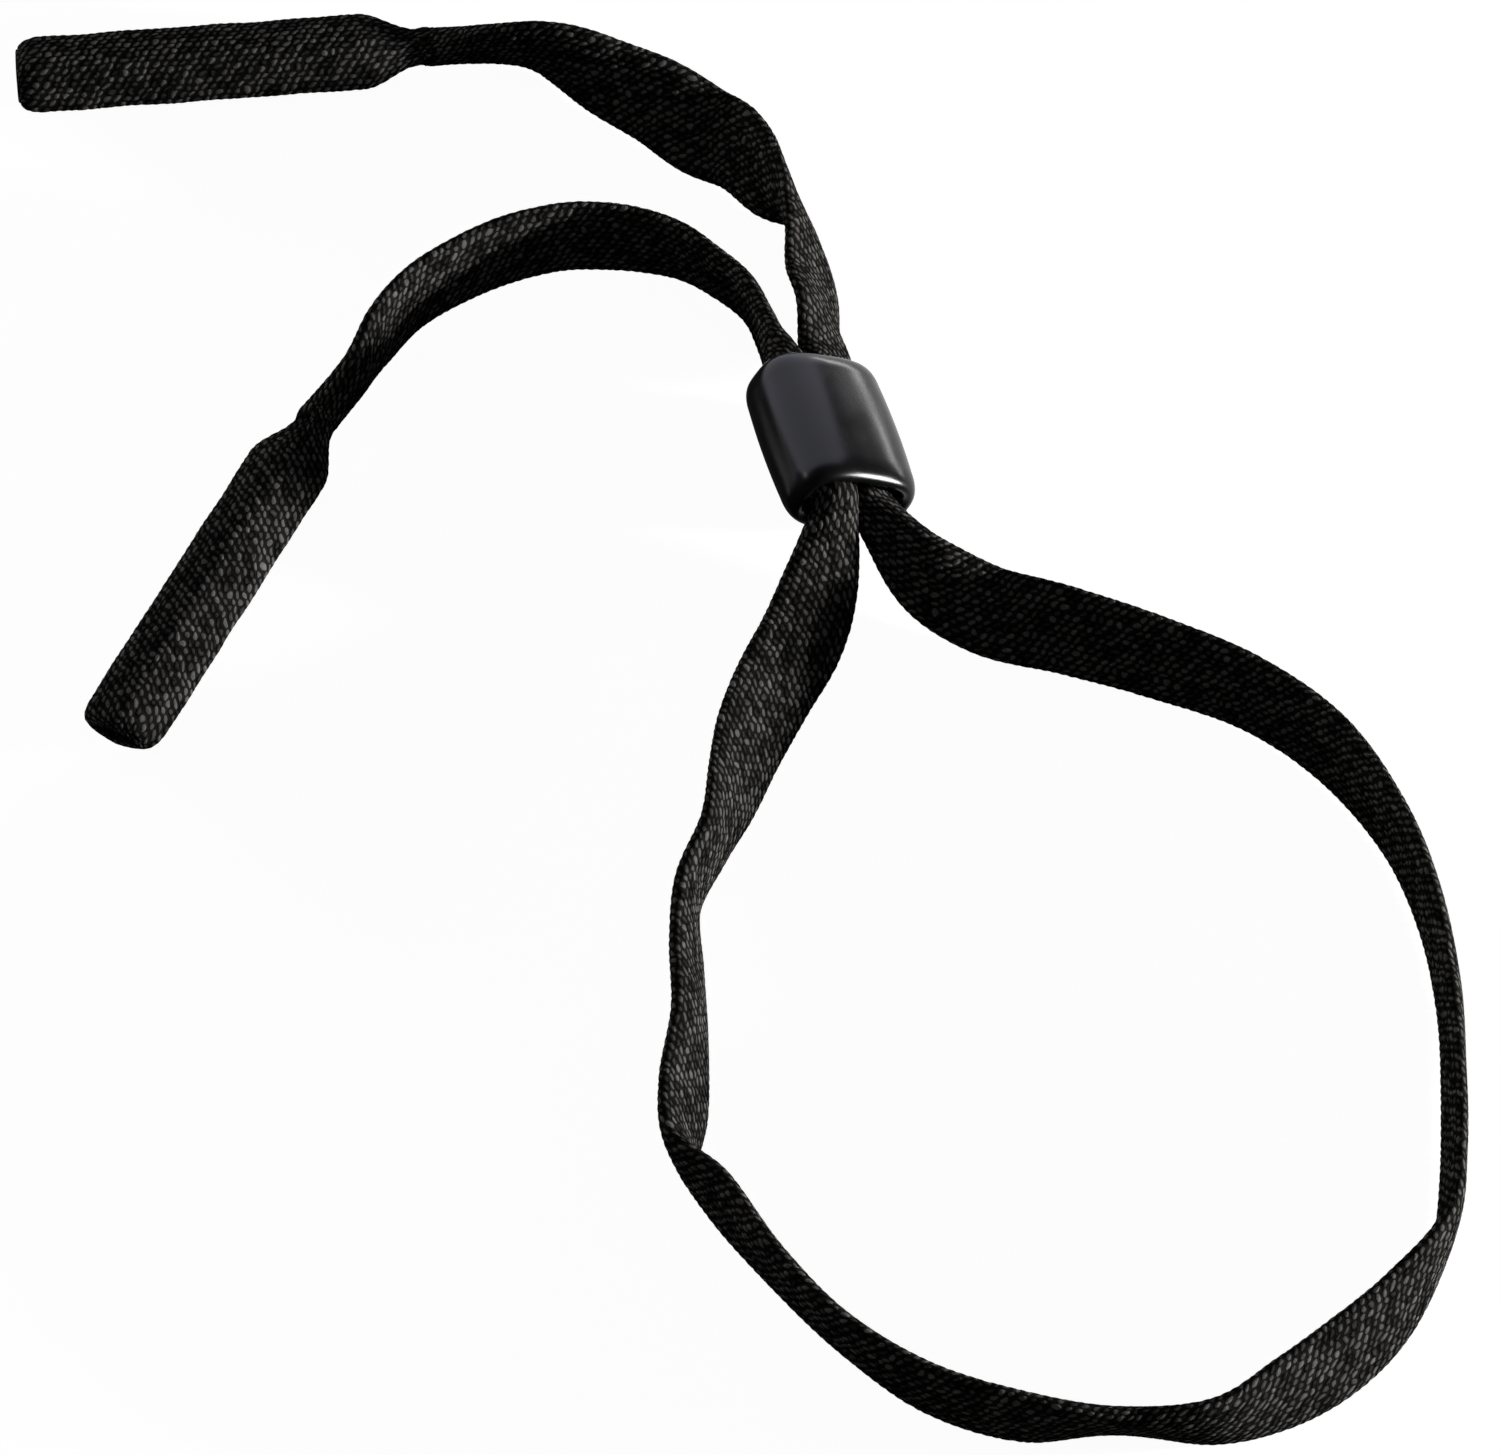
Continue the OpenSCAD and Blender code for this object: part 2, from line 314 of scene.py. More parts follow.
NECK_LOOP_STATIONS = [
    (0.0189, 0.0072, 0.0020, 58, 0.8),
    (0.0142, 0.0002, 0.0003, 63, 1),
    (0.0079, -0.0073, 0, 55, 1),
    (0.0024, -0.0148, 0, 42, 1),
    (-0.0021, -0.0223, 0, 27, 1),
    (-0.0066, -0.0295, 0, 8, 1),
    (-0.0122, -0.0370, 0, 5, 1),
    (-0.0149, -0.0460, 0, 14, 1),
    (-0.0174, -0.0564, 0, 16, 1),
    (-0.0210, -0.0663, 0, 26, 1),
    (-0.0235, -0.0743, 0, 14, 1),
    (-0.0206, -0.0822, 0, -3, 1),
    (-0.0166, -0.0937, 0, 5, 1),
    (-0.0112, -0.1050, 0, 8, 1),
    (-0.0035, -0.1152, 0, 2, 1),
    (0.0068, -0.1224, 0, 3, 1),
    (0.0178, -0.1259, 0, 22, 1),
    (0.0288, -0.1293, 0, 5, 1),
    (0.0385, -0.1278, 0, -18, 1),
    (0.0474, -0.1247, 0, -26, 1),
    (0.0560, -0.1200, 0, -18, 1),
    (0.0646, -0.1125, 0, 2, 1.1),
    (0.0692, -0.1033, 0, 4, 1.2),
    (0.0733, -0.0919, 0, 2, 1.2),
    (0.0772, -0.0794, 0, -2, 1),
    (0.0794, -0.0660, 0, 0, 1.05),
    (0.0793, -0.0526, 0, 4, 1),
    (0.0757, -0.0385, 0, 14, 1),
    (0.0684, -0.0271, 0, 17, 1.04),
    (0.0582, -0.0177, 0, 27, 1.04),
    (0.0482, -0.0098, 0, 38, 1.04),
    (0.0392, -0.0029, 0, 55, 1.03),
    (0.0322, 0.0049, 0.0010, 42, 0.83),
]

# Where each free stretch starts to lag behind the slider, and where it lies still
BENDS = {
    "left_arm": ((0.023, 0.038, 0.010), (-0.041, 0.055, 0.003)),
    "right_arm": ((0.029, 0.038, 0.007), (-0.008, 0.115, 0.004)),
    "neck_loop": ((0.0258, 0.015, 0.009), (0.0258, -0.119, 0.005)),
}

# Finish of the braid: its colours, with painted shade in the groove colours between the yarns, and how its yarns and
# their strands differ
STRAP_CREST = (0.146, 0.140, 0.134, 1)
STRAP_GROOVE_SHADE = (0.018, 0.0175, 0.0168, 1)
COVER_CREST = (0.158, 0.152, 0.146, 1)
COVER_GROOVE_SHADE = (0.019, 0.0185, 0.0178, 1)
PLAIT_DEPTH = 0.00012
SHADED_GROOVE_TO_CREST = (0.35, 0.95)
YARN_SWELL = (0.75, 1.25)
YARN_UNEVEN = (-0.45, 0.45)
YARN_UNEVEN_SCALE = 2.6
YARN_TONE = (0.4, 1.6)
YARN_ROUGHNESS = (0.5, 0.75)
YARN_GLOSS = 0.0
STRAND_TONE = (0.4, 1.6)
STRAND_HEIGHT = 0.3
STRANDS_ALONG = 5.0
STRANDS_ACROSS = 2.2
STRANDS_APART = 40.0

# Finish of the moulded slider and of the soft grip tubes, and the reach of most of a noise
NOISE_REACH = (0.3, 0.7)
CLOUD_DETAIL = 3.0
SLIDER_COLOURS = ((0.0068, 0.0068, 0.0075, 1), (0.0092, 0.0092, 0.01, 1))
SLIDER_ROUGHNESS = (0.21, 0.27)
SLIDER_GLOSS = 0.2
SLIDER_CLOUD_SCALE = 260.0
SLIDER_GRAIN_SCALE = 3200.0
SLIDER_GRAIN_DEPTH = 0.00002
SLIDER_GRAIN_SHARE = 0.1
GRIP_COLOURS = ((0.017, 0.017, 0.018, 1), (0.026, 0.026, 0.027, 1))
GRIP_ROUGHNESS = (0.55, 0.75)
GRIP_GLOSS = 0.3
GRIP_CLOUD_SCALE = 420.0
GRIP_GRAIN_SCALE = 5200.0
GRIP_GRAIN_DEPTH = 0.00003
GRIP_GRAIN_SHARE = 0.25

# Light: a key lamp low at the right, a weaker one low behind at the left, and a dim room.
# Four more lamps show only in the gloss: a white panel behind, a low bar at the back right,
# a tall box at the right and a small lamp at the left
KEY_AT = Vector((0.94, -0.36, 0.115))
KEY_SIZE = (0.06, 0.06)
KEY_WATTS = 9.5
FILL_AT = Vector((-0.61, 0.79, 0.115))
FILL_SIZE = (0.3, 0.08)
FILL_WATTS = 1.6
PANEL_AT = Vector((-0.36, 0.80, 0.49))
PANEL_AIM = Vector((-0.36, 0.127, -0.1))
PANEL_SIZE = (2.48, 1.5)
PANEL_WATTS = 25
PANEL_TINT = (0.84, 0.85, 1.0)
BAR_AT = Vector((0.70, 0.47, 0.026))
BAR_SIZE = (0.7, 0.05)
BAR_WATTS = 1.8
BOX_AT = Vector((0.87, -0.47, 0.22))
BOX_SIZE = (0.36, 0.42)
BOX_WATTS = 42
GLINT_AT = Vector((-0.67, 0.19, 0.37))
GLINT_SIZE = (0.15, 0.06)
GLINT_WATTS = 0.3
ROOM_LIGHT = 0.055

# Floor: white, but in the gloss it carries painted shadow, dark on a strip along Y and in front of a slanted line
FLOOR_REACH = 10
FLOOR_SIDES = 64
FLOOR_DROP = 0.0002
FLOOR_GLOW = 0.96
FLOOR_SHADOW_GLOW = 0.02
FLOOR_GREY = 0.3
FLOOR_SHADOW_STRIP = (0.015, 0.023)
FLOOR_SHADOW_FRONT = (0.016, 0.026)
FLOOR_SHADOW_SLANT = 0.35


def mix(a, b, share):
    return a + (b - a) * share


def ease(share):
    share = min(1, max(0, share))
    return share * share * (3 - 2 * share)


def power(value, square):
    """A sine or cosine bent so that an oval gets squarer, where 2 leaves it round."""
    return math.copysign(abs(value) ** (2 / square), value)


# Sections that have been worked out already
ovals = {}


def oval(thick, wide, square, count):
    """A closed section at even steps from its lower edge, as points and outward normals."""
    key = (round(thick, 7), round(wide, 7), round(square, 3), count)
    if key in ovals:
        return ovals[key]
    fine = count * OUTLINE_STEPS
    outline = []
    for i in range(fine + 1):
        angle = 2 * math.pi * i / fine - math.pi / 2
        p = thick / 2 * power(math.cos(angle), square)
        q = wide / 2 * power(math.sin(angle), square)
        outline.append((p, q))
    reach = [0]
    for (p0, q0), (p1, q1) in zip(outline, outline[1:]):
        reach.append(reach[-1] + math.hypot(p1 - p0, q1 - q0))
    section = []
    at = 0
    for i in range(count):
        target = reach[-1] * i / count
        while reach[at + 1] < target:
            at += 1
        share = (target - reach[at]) / (reach[at + 1] - reach[at])
        p = mix(outline[at][0], outline[at + 1][0], share)
        q = mix(outline[at][1], outline[at + 1][1], share)
        out_p = math.copysign(abs(2 * p / thick) ** (square - 1), p) / thick
        out_q = math.copysign(abs(2 * q / wide) ** (square - 1), q) / wide
        size = math.hypot(out_p, out_q)
        section.append((p, q, out_p / size, out_q / size))
    ovals[key] = section
    return section


def stand(section, lean):
    """Height of a section's middle above the table when it leans and just touches it."""
    return max(abs(q * math.cos(lean) - p * math.sin(lean)) for p, q, _, _ in section)


def plait_place(column, row, columns):
    """Where a place on the plait lies once the yarns sway a little, round a tube of so many columns."""
    angle = 2 * math.pi * column / columns
    reach = columns / (2 * math.pi)
    at = Vector((reach * math.cos(angle), reach * math.sin(angle), row))
    aside = GRAIN_SWAY * noise.noise(at * SWAY_SCALE)
    ahead = GRAIN_SWAY * noise.noise(at * SWAY_SCALE + SWAY_APART)
    return column + aside, row + ahead


def grain_height(side, ring, columns):
    """Height of the plait from 0 to 1, at a corner of a tube of so many columns."""
    column, row = plait_place(side / COLUMN_POINTS, ring / GRAIN_RINGS, columns)
    index = math.floor(column)
    odd = index % 2
    across = column - index - 0.5
    turn = row + across * GRAIN_SLANT + 0.5 * odd
    along = turn - math.floor(turn) - 0.5
    return math.sqrt(max(0, 1 - (across / GRAIN_HALF_WIDE) ** 2 - (along / GRAIN_HALF_LONG) ** 2))


def tube(name, sides, rings, place, uv_size, closed=False):
    """A tube rolled from a flat grid. place(side, ring) gives each corner's point."""
    bm = bmesh.new()
    uv = bm.loops.layers.uv.new("plait")
    bmesh.ops.create_grid(bm, x_segments=sides, y_segments=rings, size=1, calc_uvs=True)
    seam = []
    for vert in bm.verts:
        side = round((vert.co.x + 1) / 2 * sides)
        ring = round((vert.co.y + 1) / 2 * rings)
        vert.co = place(side % sides, ring % rings if closed else ring)
        if side in (0, sides) or (closed and ring in (0, rings)):
            seam.append(vert)
    for face in bm.faces:
        face.smooth = True
        for loop in face.loops:
            column = loop[uv].uv.x * uv_size[0]
            row = loop[uv].uv.y * uv_size[1]
            loop[uv].uv = plait_place(column, row, uv_size[0])
    bmesh.ops.remove_doubles(bm, verts=seam, dist=SEAM_REACH)
    ends = [edge for edge in bm.edges if edge.is_boundary]
    if ends:
        bmesh.ops.holes_fill(bm, edges=ends, sides=0)
    bmesh.ops.recalc_face_normals(bm, faces=bm.faces)
    mesh = bpy.data.meshes.new(name)
    bm.to_mesh(mesh)
    bm.free()
    piece = bpy.data.objects.new(name, mesh)
    bpy.context.scene.collection.objects.link(piece)
    return piece


# Where the slider lies: its slot runs along Y, rolled right side down
slider_low, slider_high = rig.box("slider")
slot_mid = (slider_low + slider_high) / 2
slot_across = Vector((math.cos(SLIDER_ROLL), 0, -math.sin(SLIDER_ROLL)))
slot_up = Vector((math.sin(SLIDER_ROLL), 0, math.cos(SLIDER_ROLL)))
run_thick = (SLOT_WIDE - 3 * STRAP_GAP) / 2
run_wide = SLOT_HIGH - 2 * STRAP_GAP
run_off = (run_thick + STRAP_GAP) / 2
run_end = SLIDER_LONG / 2 + STRAP_GAP / 2

RUN_SIZE = (run_thick, run_wide)
TURNED_RUN_SIZE = (run_wide, run_thick)
NECK_SIZE = (NECK_WIDE, NECK_THICK)


def strap_section(size):
    return oval(size[0], size[1], STRAP_SQUARE, BRAID_COLUMNS * COLUMN_POINTS)


def slot_station(side, y, lean, size):
    """The station where a run of the strap crosses the slider at y, on side -1 or 1."""
    point = slot_mid + Vector((0, y, 0)) + side * run_off * slot_across
    lift = point.z - stand(strap_section(size), math.radians(lean))
    return (point.x, point.y, lift, lean, 0)


def sleeve_frame(side):
    """Where a sleeve lies: its X runs from the mouth to the neck."""
    mounts = frame["record"]["mounts"]
    pocket = next(mount for mount in mounts if mount["name"] == side + "_temple_pocket")
    bearing = math.atan2(-pocket["axis"][1], -pocket["axis"][0])
    section = oval(SLEEVE_THICK, SLEEVE_WIDE, SLEEVE_SQUARE, SLEEVE_COLUMNS * COLUMN_POINTS)
    height = stand(section, math.pi / 2 - ROLLS[side])
    mouth = Vector((pocket["pos_m"][0], pocket["pos_m"][1], height))
    turn = Matrix.Rotation(bearing, 4, "Z") @ Matrix.Rotation(ROLLS[side], 4, "X")
    return Matrix.Translation(mouth) @ turn


def neck_station(side, reach):
    """The station on a sleeve's axis at a reach from its mouth."""
    point = sleeve_frame(side) @ Vector((reach, 0, 0))
    lift = point.z - stand(strap_section(NECK_SIZE), -ROLLS[side])
    return (point.x, point.y, lift, -math.degrees(ROLLS[side]), 0)


def blend_span(a, b, c, d, f):
    """A smooth curve from b to c that heads on from a and on to d."""
    return tuple(
        q + f / 2 * (r - p + f * (2 * p - 5 * q + 4 * r - s + f * (3 * (q - r) + s - p)))
        for p, q, r, s in zip(a, b, c, d)
    )


def lay_strap(stations, start_size, finish_size):
    """Even rings along a route, each with its middle, lean and section size."""
    last = len(stations) - 1
    trail = []
    for i in range(last):
        a, b = stations[max(i - 1, 0)], stations[i]
        c, d = stations[i + 1], stations[min(i + 2, last)]
        trail += [blend_span(a, b, c, d, k / SPAN_STEPS) for k in range(SPAN_STEPS)]
    trail.append(stations[last])
    marks = []
    for i, (x, y, lift, lean, spread) in enumerate(trail):
        gathered = start_size if i < len(trail) / 2 else finish_size
        spread = min(MOST_SPREAD, max(0, spread))
        size = (mix(gathered[0], STRAP_THICK, spread), mix(gathered[1], STRAP_WIDE, spread))
        lean = math.radians(lean)
        height = max(0, lift) + stand(strap_section(size), lean)
        marks.append((Vector((x, y, height)), lean, size))
    reach = [0]
    for before, after in zip(marks, marks[1:]):
        reach.append(reach[-1] + (after[0] - before[0]).length)
    count = round(reach[-1] / GRAIN_PITCH) * GRAIN_RINGS
    rings = []
    at = 0
    for k in range(count + 1):
        target = reach[-1] * k / count
        while at < len(reach) - 2 and reach[at + 1] < target:
            at += 1
        share = (target - reach[at]) / (reach[at + 1] - reach[at])
        (m0, l0, s0), (m1, l1, s1) = marks[at], marks[at + 1]
        size = (mix(s0[0], s1[0], share), mix(s0[1], s1[1], share))
        rings.append((m0.lerp(m1, share), mix(l0, l1, share), size))
    return rings, reach[-1]


def braid(name, stations, start_size, finish_size):
    """A stretch of flat braid along its stations, with the plait raised on it."""
    rings, length = lay_strap(stations, start_size, finish_size)
    middles = [middle for middle, _, _ in rings]
    last = len(rings) - 1
    frames = []
    for k, (middle, lean, size) in enumerate(rings):
        along = (middles[min(k + 1, last)] - middles[max(k - 1, 0)]).normalized()
        right = Vector((along.y, -along.x, 0)).normalized()
        tall = Vector((0, 0, math.cos(lean))) + math.sin(lean) * right
        wide_way = (tall - along * tall.dot(along)).normalized()
        thick_way = along.cross(wide_way)
        frames.append((middle, thick_way, wide_way, strap_section(size)))

    def place(side, ring):
        middle, thick_way, wide_way, section = frames[ring]
        p, q, out_p, out_q = section[side]
        lift = GRAIN_RELIEF * (grain_height(side, ring, BRAID_COLUMNS) - GRAIN_SINK)
        point = middle + (p + lift * out_p) * thick_way + (q + lift * out_q) * wide_way
        point.z = max(0, point.z)
        return point

    uv_size = (BRAID_COLUMNS, last / GRAIN_RINGS)
    piece = tube(name, BRAID_COLUMNS * COLUMN_POINTS, last, place, uv_size)
    return piece, middles, length


def slot_point(y, across, up):
    """A point in the slider's own directions, from the middle of its slot."""
    return slot_mid + Vector((0, y, 0)) + across * slot_across + up * slot_up


def slider_shell():
    """The slider: swelling sides, rounded lips and the slot through it, as one closed skin."""
    half = SLIDER_LONG / 2 - LIP_LONG
    end_wide = SLIDER_WIDE - 2 * SLIDER_SWELL
    end_high = SLIDER_HIGH - 2 * SLIDER_SWELL
    rings = []
    for i in range(SLIDER_RINGS):
        f = 2 * i / SLIDER_RINGS - 1
        swell = 2 * SLIDER_SWELL * (1 - f * f)
        rings.append((f * half, end_wide + swell, end_high + swell, SLIDER_SQUARE))
    # One lip turns in to the slot, and past the slot the other turns out again
    for end, count in ((1, SLOT_RINGS), (-1, 0)):
        for i in range(LIP_RINGS):
            angle = math.pi * i / LIP_RINGS
            f = (1 - end * math.cos(angle)) / 2
            rings.append((
                end * (half + LIP_LONG * math.sin(angle)),
                mix(end_wide, SLOT_WIDE, f),
                mix(end_high, SLOT_HIGH, f),
                mix(SLIDER_SQUARE, SLOT_SQUARE, f),
            ))
        for i in range(count):
            rings.append((half * (1 - 2 * i / count), SLOT_WIDE, SLOT_HIGH, SLOT_SQUARE))

    def place(side, ring):
        y, wide, high, square = rings[ring]
        p, q, _, _ = oval(high, wide, square, SLIDER_SIDES)[side]
        return slot_point(y, q, -p)

    return tube("slider_moulding", SLIDER_SIDES, len(rings), place, (1, 1), closed=True)


def run_in_slot(name, side):
    """The stretch of braid that lies in the slot, on side -1 or 1."""
    reach = SLIDER_LONG / 2 - TUCK
    grains = round(2 * reach / GRAIN_PITCH)
    section = strap_section(TURNED_RUN_SIZE)

    def place(i, ring):
        p, q, out_p, out_q = section[i]
        lift = GRAIN_RELIEF * (grain_height(i, ring, BRAID_COLUMNS) - RUN_GRAIN_SINK)
        y = reach * (2 * ring / (grains * GRAIN_RINGS) - 1)
        return slot_point(y, q + lift * out_q + side * run_off, -(p + lift * out_p))

    uv_size = (BRAID_COLUMNS, grains)
    return tube(name, BRAID_COLUMNS * COLUMN_POINTS, grains * GRAIN_RINGS, place, uv_size)


def sleeve_size(x):
    """Thickness and width of a sleeve at a distance from its mouth."""
    body_to = SLEEVE_LONG - NECK_LONG - SHOULDER_LONG
    narrow = ease((x - body_to) / SHOULDER_LONG)
    opened = math.sqrt(1 - (1 - min(1, max(0, x) / MOUTH_ROUND)) ** 2)
    thick = mix(mix(MOUTH_THICK, SLEEVE_THICK, opened), NECK_THICK, narrow)
    wide = mix(mix(MOUTH_WIDE, SLEEVE_WIDE, opened), NECK_WIDE, narrow)
    return thick, wide


def sleeve_stops():
    """The way along a sleeve's skin: inside the pocket, round the hem and along the outside.

    Each stop has its distance from the mouth, its inset and its share of the relief.
    """
    deep = SLEEVE_LONG - NECK_LONG - SHOULDER_LONG
    turns = [math.pi / 2 * i / MOUTH_RINGS for i in range(1, MOUTH_RINGS)]
    mouth = [MOUTH_ROUND * (1 - math.cos(turn)) for turn in turns]
    inside = [mix(deep, MOUTH_ROUND, i / POCKET_RINGS) for i in range(POCKET_RINGS + 1)]
    stops = [(x, SLEEVE_WALL, 0) for x in inside + mouth[::-1]]
    for i in range(HEM_RINGS + 1):
        angle = math.pi * i / HEM_RINGS
        inset = SLEEVE_WALL * (1 + math.cos(angle)) / 2
        stops.append((-HEM_BULGE * math.sin(angle), inset, i / HEM_RINGS))
    stops += [(x, 0, 1) for x in mouth]
    count = round((SLEEVE_LONG - MOUTH_ROUND) / GRAIN_PITCH) * GRAIN_RINGS
    stops += [(mix(MOUTH_ROUND, SLEEVE_LONG, i / count), 0, 1) for i in range(count + 1)]
    return stops


def sleeve_cover(side):
    """A padded braid sleeve, hollow from its mouth to the shoulder and closed at the neck."""
    stops = sleeve_stops()
    lie = sleeve_frame(side)
    seed = Vector((0, 0, LUMP_SEEDS[side]))
    sides = SLEEVE_COLUMNS * COLUMN_POINTS

    def place(i, ring):
        x, inset, raised = stops[ring]
        thick, wide = sleeve_size(x)
        p, q, out_p, out_q = oval(thick - 2 * inset, wide - 2 * inset, SLEEVE_SQUARE, sides)[i]
        lift = GRAIN_RELIEF * (grain_height(i, ring, SLEEVE_COLUMNS) - GRAIN_SINK)
        lump = SLEEVE_LUMPS * noise.noise(Vector((x, q, p)) * LUMP_SCALE + seed)
        lift = (lift + lump) * raised
        point = lie @ Vector((x, q + lift * out_q, p + lift * out_p))
        point.z = max(0, point.z)
        return point

    count = len(stops) - 1
    uv_size = (SLEEVE_COLUMNS, count / GRAIN_RINGS)
    return tube(side + "_sleeve_cover", sides, count, place, uv_size)


def grip_tube(side):
    """The soft tube that lines a sleeve, with rounded ends."""
    lie = sleeve_frame(side)
    outer = SLEEVE_WALL + GRIP_GAP
    stops = [(GRIP_SET_BACK + GRIP_LONG * i / GRIP_RINGS, outer) for i in range(GRIP_RINGS)]
    for far in (1, 0):
        way = 2 * far - 1
        for i in range(GRIP_END_RINGS):
            angle = math.pi * i / GRIP_END_RINGS
            turn = (1 - way * math.cos(angle)) / 2
            bulge = way * GRIP_WALL / 2 * math.sin(angle)
            stops.append((GRIP_SET_BACK + GRIP_LONG * far + bulge, outer + GRIP_WALL * turn))
        if far:
            for i in range(GRIP_RINGS):
                stops.append((GRIP_SET_BACK + GRIP_LONG * (1 - i / GRIP_RINGS), outer + GRIP_WALL))

    def place(i, ring):
        x, inset = stops[ring]
        thick, wide = sleeve_size(x)
        p, q, _, _ = oval(thick - 2 * inset, wide - 2 * inset, SLEEVE_SQUARE, GRIP_SIDES)[i]
        return lie @ Vector((x, q, p))

    return tube(side + "_grip_tube", GRIP_SIDES, len(stops), place, (1, 1), closed=True)


class Nodes:
    """Short calls for building a node tree."""

    def __init__(self, tree):
        self.tree = tree

    def add(self, kind, **settings):
        node = self.tree.nodes.new(kind)
        for name, value in settings.items():
            setattr(node, name, value)
        return node

    def join(self, source, target):
        self.tree.links.new(source, target)

    def feed(self, socket, value):
        if isinstance(value, bpy.types.NodeSocket):
            self.join(value, socket)
        else:
            socket.default_value = value

    def math(self, operation, a, b=0.0, c=0.0):
        node = self.add("ShaderNodeMath", operation=operation)
        for socket, value in zip(node.inputs, (a, b, c)):
            self.feed(socket, value)
        return node.outputs[0]

    def between(self, share, low, high):
        return self.math("MULTIPLY_ADD", share, high - low, low)

    def spread(self, value, low, high, to_low=0.0, to_high=1.0):
        node = self.add("ShaderNodeMapRange", interpolation_type="SMOOTHSTEP")
        for socket, given in zip(node.inputs, (value, low, high, to_low, to_high)):
            self.feed(socket, given)
        return node.outputs[0]

    def blend(self, share, a, b, how="MIX"):
        # A Mix node takes colours at its inputs 6 and 7 and gives one at its output 2
        node = self.add("ShaderNodeMix", data_type="RGBA", blend_type=how)
        self.feed(node.inputs["Factor"], share)
        self.feed(node.inputs[6], a)
        self.feed(node.inputs[7], b)
        return node.outputs[2]

    def vector(self, x, y, z):
        node = self.add("ShaderNodeCombineXYZ")
        for socket, value in zip(node.inputs, (x, y, z)):
            self.feed(socket, value)
        return node.outputs[0]

    def noise(self, vector, scale, detail=2.0):
        node = self.add("ShaderNodeTexNoise")
        self.feed(node.inputs["Vector"], vector)
        self.feed(node.inputs["Scale"], scale)
        self.feed(node.inputs["Detail"], detail)
        return node.outputs[0]

    def bump(self, height, share, depth):
        node = self.add("ShaderNodeBump")
        node.inputs["Strength"].default_value = share
        node.inputs["Distance"].default_value = depth
        self.join(height, node.inputs["Height"])
        return node.outputs["Normal"]


def plait_group():
    """The yarns of the braid on a map counted in columns and grains.

    Height is that of the grains, Tone differs from grain to grain and Fibre from strand to strand.
    """
    group = bpy.data.node_groups.new("plait", "ShaderNodeTree")
    group.interface.new_socket("Map", in_out="INPUT", socket_type="NodeSocketVector")
    group.interface.new_socket("Slant", in_out="INPUT", socket_type="NodeSocketFloat")
    for name in ("Height", "Tone", "Fibre"):
        group.interface.new_socket(name, in_out="OUTPUT", socket_type="NodeSocketFloat")
    n = Nodes(group)
    given = n.add("NodeGroupInput")
    out = n.add("NodeGroupOutput")
    parts = n.add("ShaderNodeSeparateXYZ")
    n.join(given.outputs["Map"], parts.inputs[0])
    column = n.math("FLOOR", parts.outputs["X"])
    odd = n.math("MODULO", column, 2.0)
    across = n.math("SUBTRACT", n.math("FRACT", parts.outputs["X"]), 0.5)
    shift = n.math("MULTIPLY", across, given.outputs["Slant"])
    turn = n.math("ADD", n.math("ADD", parts.outputs["Y"], shift), n.math("MULTIPLY", odd, 0.5))
    grain = n.math("FLOOR", turn)
    along = n.math("SUBTRACT", n.math("FRACT", turn), 0.5)
    dome = 1.0
    for value, half in ((across, GRAIN_HALF_WIDE), (along, GRAIN_HALF_LONG)):
        dome = n.math("MULTIPLY_ADD", n.math("MULTIPLY", value, value), -1 / half ** 2, dome)
    tone = n.add("ShaderNodeTexWhiteNoise", noise_dimensions="2D")
    n.join(n.vector(column, grain, 0.0), tone.inputs["Vector"])
    n.join(tone.outputs["Value"], out.inputs["Tone"])
    uneven = n.between(n.noise(given.outputs["Map"], YARN_UNEVEN_SCALE), *YARN_UNEVEN)
    dome = n.math("SQRT", n.math("MAXIMUM", dome, 0.0))
    swell = n.math("MULTIPLY", dome, n.between(tone.outputs["Value"], *YARN_SWELL))
    n.join(n.math("MAXIMUM", n.math("ADD", swell, uneven), 0.0), out.inputs["Height"])
    strands = n.vector(n.math("MULTIPLY", along, STRANDS_ALONG),
                       n.math("MULTIPLY", across, STRANDS_ACROSS),
                       n.math("MULTIPLY", tone.outputs["Value"], STRANDS_APART))
    n.join(n.noise(strands, 1.0), out.inputs["Fibre"])
    return group


def new_material(name):
    material = bpy.data.materials.new(name)
    material.use_nodes = True
    n = Nodes(material.node_tree)
    return material, n, material.node_tree.nodes["Principled BSDF"]


def braid_material(name, plait, crest, shaded_groove):
    """Black braid: grooves darkened with painted shade, yarns that differ a little and fine strands along them."""
    material, n, surface = new_material(name)
    place = n.add("ShaderNodeUVMap", uv_map="plait")
    yarn = n.add("ShaderNodeGroup", node_tree=plait)
    n.join(place.outputs["UV"], yarn.inputs["Map"])
    yarn.inputs["Slant"].default_value = GRAIN_SLANT
    # Painted shade: where the plait sinks between the yarns the colour goes to the dark groove colour
    raised = n.spread(yarn.outputs["Height"], *SHADED_GROOVE_TO_CREST)
    colour_with_groove_shade = n.blend(raised, shaded_groove, crest)
    tone = n.between(yarn.outputs["Tone"], *YARN_TONE)
    strand = n.between(yarn.outputs["Fibre"], *STRAND_TONE)
    shade = n.math("MULTIPLY", tone, strand)
    colour_with_groove_shade = n.blend(1.0, colour_with_groove_shade, n.vector(shade, shade, shade), how="MULTIPLY")
    n.join(colour_with_groove_shade, surface.inputs["Base Color"])
    n.join(n.between(yarn.outputs["Fibre"], *YARN_ROUGHNESS), surface.inputs["Roughness"])
    height = n.math("MULTIPLY_ADD", yarn.outputs["Fibre"], STRAND_HEIGHT, yarn.outputs["Height"])
    n.join(n.bump(height, 1.0, PLAIT_DEPTH), surface.inputs["Normal"])
    surface.inputs["Specular IOR Level"].default_value = YARN_GLOSS
    return material


